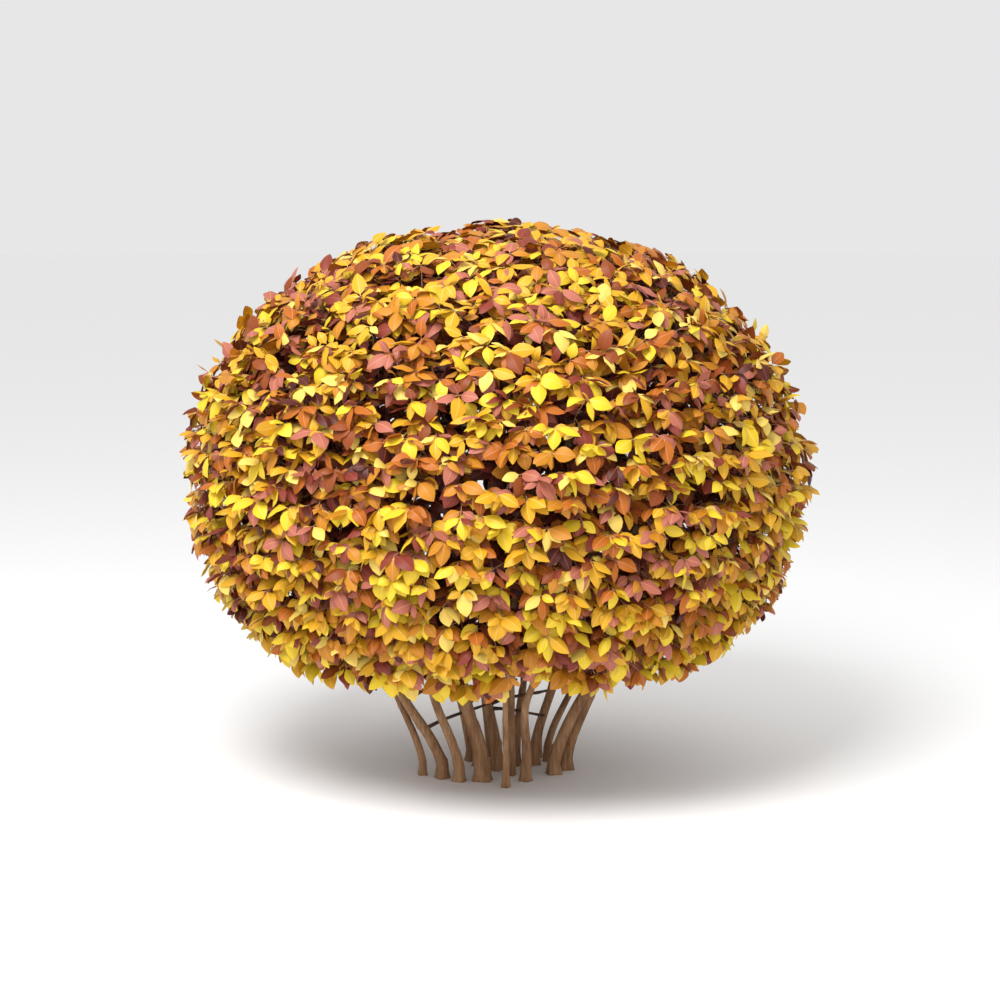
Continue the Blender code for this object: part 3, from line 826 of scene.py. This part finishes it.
def bark_material(name, dark, middle, pale):
    """Smooth bark: streaks that run up the limb, paler patches, and a fine grain."""
    material = bpy.data.materials.new(name)
    material.use_nodes = True
    nodes, links = material.node_tree.nodes, material.node_tree.links
    shader = nodes["Principled BSDF"]
    place = nodes.new("ShaderNodeTexCoord")

    def noise_at(scale, detail, roughness):
        stretched = nodes.new("ShaderNodeMapping")
        stretched.inputs["Scale"].default_value = scale
        links.new(place.outputs["Object"], stretched.inputs["Vector"])
        pattern = nodes.new("ShaderNodeTexNoise")
        pattern.inputs["Scale"].default_value = 1.0
        pattern.inputs["Detail"].default_value = detail
        pattern.inputs["Roughness"].default_value = roughness
        links.new(stretched.outputs["Vector"], pattern.inputs["Vector"])
        return pattern.outputs["Fac"]

    def share_of(value, share, added=None):
        scaled = nodes.new("ShaderNodeMath")
        scaled.operation = "MULTIPLY" if added is None else "MULTIPLY_ADD"
        scaled.inputs[1].default_value = share
        links.new(value, scaled.inputs[0])
        if added is not None:
            links.new(added, scaled.inputs[2])
        return scaled.outputs[0]

    streaks = noise_at(*BARK_STREAKS)
    patches = noise_at(*BARK_PATCHES)
    grain = noise_at(*BARK_GRAIN)
    low, between, high = TONE_PLACES
    tones = nodes.new("ShaderNodeValToRGB")
    tones.color_ramp.elements[0].position = low
    tones.color_ramp.elements[0].color = (*dark, 1)
    tones.color_ramp.elements[1].position = high
    tones.color_ramp.elements[1].color = (*pale, 1)
    tones.color_ramp.elements.new(between).color = (*middle, 1)
    mixed = share_of(streaks, STREAK_SHARE, share_of(patches, PATCH_SHARE))
    links.new(mixed, tones.inputs["Fac"])
    links.new(tones.outputs["Color"], shader.inputs["Base Color"])
    bump = nodes.new("ShaderNodeBump")
    bump.inputs["Strength"].default_value = BUMP_STRENGTH
    bump.inputs["Distance"].default_value = BUMP_DEPTH
    links.new(share_of(grain, GRAIN_SHARE, streaks), bump.inputs["Height"])
    links.new(bump.outputs["Normal"], shader.inputs["Normal"])
    satin = nodes.new("ShaderNodeMapRange")
    satin.inputs["To Min"].default_value, satin.inputs["To Max"].default_value = BARK_ROUGHNESS
    links.new(streaks, satin.inputs["Value"])
    links.new(satin.outputs["Result"], shader.inputs["Roughness"])
    shader.inputs["Specular IOR Level"].default_value = BARK_SHINE
    material.diffuse_color = (*middle, 1)
    return material


def light_studio():
    """A plain pale floor, an even pale surround and soft lights."""
    built = bmesh.new()
    bmesh.ops.create_circle(built, cap_ends=True, segments=FLOOR_SIDES, radius=FLOOR_SIZE / 2)
    mesh = bpy.data.meshes.new("floor")
    built.to_mesh(mesh)
    built.free()
    pale_floor = plain_material("pale_floor", FLOOR_COLOUR, FLOOR_ROUGHNESS, FLOOR_SHINE)
    link("floor", mesh, [pale_floor])
    world = bpy.data.worlds.new("surround")
    world.use_nodes = True
    background = world.node_tree.nodes["Background"]
    background.inputs["Color"].default_value = (*SKY_COLOUR, 1)
    background.inputs["Strength"].default_value = SKY_STRENGTH
    bpy.context.scene.world = world
    bpy.context.scene.view_settings.view_transform = "Standard"
    for name, bearing, height_angle, distance, side, power in LIGHTS:
        light = bpy.data.lights.new(name, "AREA")
        light.shape = "SQUARE"
        light.size = side
        light.energy = power
        obj = bpy.data.objects.new(name, light)
        obj.location = MIDDLE + compass(bearing, height_angle) * distance
        obj.rotation_euler = (MIDDLE - obj.location).to_track_quat("-Z", "Y").to_euler()
        bpy.context.scene.collection.objects.link(obj)


def clothe(piece, slot, *nodes):
    """Makes a piece stand for nodes of the plant and move with it. The slot is not used."""
    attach(piece, "root")
    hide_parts(*nodes)


def clothe_limbs(sectors, bark, dark_bark):
    """The stems, low boughs and shoots in their bark. Returns each mass's way in and its limb's radius."""
    stems, feeds = {}, {}
    for seed, (name, foot, lean, radius, mass) in enumerate(STEMS):
        path, radii = stem_path(foot, lean, radius, sectors[mass], seed)
        stems[name] = (path, radii)
        feeds[mass] = ((path[-1] - path[-2]).normalized(), radii[-1])
        piece = bark_piece(name + "_bark", [(path, radii, STEM_SIDES, seed, True)], bark)
        clothe(piece, "bark", name)
    for seed, (name, stem, height, radius, mass) in enumerate(BOUGHS, len(STEMS)):
        sector, tip = sectors[mass], radius * BOUGH_TIP_SHARE
        outward = (compass(sector["bearing"]) - UP * BOUGH_SAG).normalized()
        path, radii = side_limb_path(stems[stem], height, radius, tip, sector["inlet"], outward)
        feeds[mass] = ((path[-1] - path[-2]).normalized(), tip)
        piece = bark_piece(name + "_bark", [(path, radii, SIDE_LIMB_SIDES, seed, False)], bark)
        clothe(piece, "bark", name)
    shoots = []
    for seed, (name, stem, height, end) in enumerate(SHOOTS, len(STEMS) + len(BOUGHS)):
        start, _ = at_height(*stems[stem], height)
        ahead = (Vector(end) - start).normalized()
        tip = SHOOT_RADIUS * SHOOT_TIP_SHARE
        path, radii = side_limb_path(stems[stem], height, SHOOT_RADIUS, tip, Vector(end), ahead)
        shoots.append((path, radii, SIDE_LIMB_SIDES, seed, False))
    piece = bark_piece("cross_shoots_bark", shoots, dark_bark)
    clothe(piece, "bark", *[shoot[0] for shoot in SHOOTS])
    return feeds


def clothe_masses(sectors, feeds, leaf_materials, twig_materials):
    """Twigs and leaves in place of the masses of foliage."""
    draw = random.Random(SEED)
    layers = [(*end, "shell") for end in twig_ends(SHELL_WAYS, SHELL_REACH, draw)]
    layers += [(*end, "inner") for end in twig_ends(INNER_WAYS, INNER_REACH, draw)]
    for place, way, layer in layers:
        out = (place - MIDDLE).normalized()
        nearest = max(sectors.values(), key=lambda sector: sector["way"].dot(out))
        nearest["ends"].append({"place": place, "way": way, "layer": layer})
    pattern = leaf_pattern()
    for part, masses in PARTS:
        twigs, leaves = [], []
        for mass in masses:
            twigs += grow_mass(sectors[mass], *feeds[mass])
            for end in sectors[mass]["ends"]:
                if end["layer"] == "shell":
                    grow_whorl(end, 0.0, draw.choice(END_WHORLS), "ends", draw, leaves)
                    grow_whorl(end, PAIR_SPACING, PAIR, "behind", draw, leaves)
                else:
                    # The inner layer's leaves take the darkest tints, as painted shade between the outer
                    # leaves
                    grow_whorl(end, 0.0, INNER_WHORL, "inside_painted_shade", draw, leaves)
        clothe(twig_piece(part + "_twigs", twigs, twig_materials), "bark", *masses)
        clothe(leaf_piece(part + "_leaves", leaves, pattern, leaf_materials), "foliage", *masses)


def main():
    """Sets the camera and the studio, and grows the plant."""
    noise.seed_set(SEED)
    place_camera()
    light_studio()
    bark = bark_material("bark", *STEM_TONES)
    dark_bark = bark_material("shoot_bark", *SHOOT_TONES)
    sectors = mass_sectors()
    feeds = clothe_limbs(sectors, bark, dark_bark)
    leaf_colours = [(name + "_leaf", colour) for name, colour, *_ in TINTS] + list(RIBS)
    leaf_materials = [plain_material(*leaf, LEAF_ROUGHNESS, LEAF_SHINE) for leaf in leaf_colours]
    twig_materials = [plain_material(*bark_row, BARK_SHINE) for bark_row in TWIG_BARKS]
    clothe_masses(sectors, feeds, leaf_materials, twig_materials)


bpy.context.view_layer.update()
main()
bpy.context.view_layer.update()
